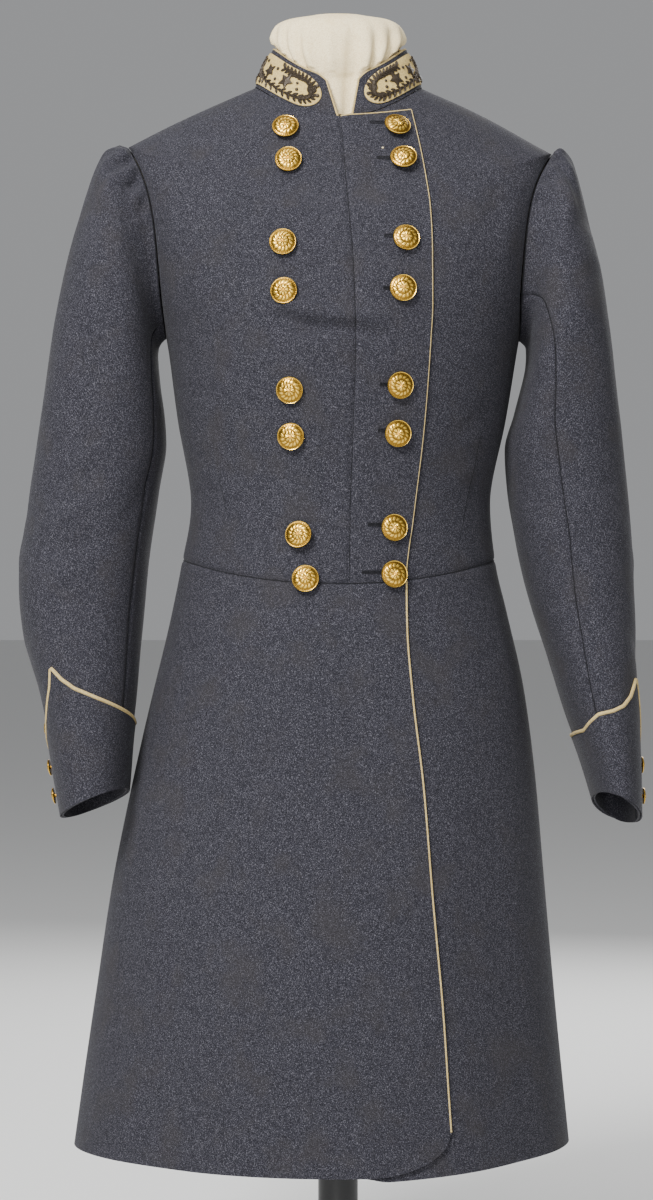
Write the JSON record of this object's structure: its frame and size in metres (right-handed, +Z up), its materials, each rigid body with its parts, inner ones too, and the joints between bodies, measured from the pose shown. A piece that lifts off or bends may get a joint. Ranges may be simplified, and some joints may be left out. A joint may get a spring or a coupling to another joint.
{
  "type": "frock coat on a limbless dress form",
  "caption": "Double-breasted knee-length wool frock coat with a standing collar, piped edges, pointed cuffs and domed gilt buttons, on a dress form with a round stand.",
  "frame": {"origin": "centre of the underside of the stand's round base, on the floor", "axes": "+Z up, the coat's front faces -Y, +X is the wearer's left"},
  "size_m": [0.5501, 0.3627, 1.119],
  "materials": {
    "wool": "heathered blue-grey fulled wool broadcloth, matt with a faint nap",
    "piping": "cream wool piping, matt",
    "patch": "cream wool cloth with tarnished metal-thread embroidery",
    "brass": "gilt stamped brass, worn bright on the raised parts",
    "form_cover": "off-white cotton cloth, softly gathered",
    "form_cloth": "unbleached linen over a padded torso",
    "stand": "black painted steel, satin"
  },
  "bodies": {
    "root": {"back_left": "wool", "back_right": "wool", "collar": "wool", "cuff_left": "wool", "cuff_right": "wool", "front_left": "wool", "front_right": "wool", "lapel_left": "wool", "lapel_right": "wool", "side_body_left": "wool", "side_body_right": "wool", "skirt_left": "wool", "skirt_right": "wool", "top_sleeve_left": "wool", "top_sleeve_right": "wool", "under_sleeve_left": "wool", "under_sleeve_right": "wool", "piping_collar": "piping", "piping_cuff_left": "piping", "piping_cuff_right": "piping", "piping_lapel": "piping", "piping_skirt": "piping", "collar_patch_left": "patch", "collar_patch_right": "patch", "button_cuff_left_1": "brass", "button_cuff_left_2": "brass", "button_cuff_left_3": "brass", "button_cuff_right_1": "brass", "button_cuff_right_2": "brass", "button_cuff_right_3": "brass", "button_hip_left": "brass", "button_hip_right": "brass", "button_left_1": "brass", "button_left_2": "brass", "button_left_3": "brass", "button_left_4": "brass", "button_left_5": "brass", "button_left_6": "brass", "button_left_7": "brass", "button_left_8": "brass", "button_right_1": "brass", "button_right_2": "brass", "button_right_3": "brass", "button_right_4": "brass", "button_right_5": "brass", "button_right_6": "brass", "button_right_7": "brass", "button_right_8": "brass", "form_neck_cover": "form_cover", "form_body": "form_cloth", "form_base": "stand", "form_pole": "stand"}
  },
  "joints": []
}
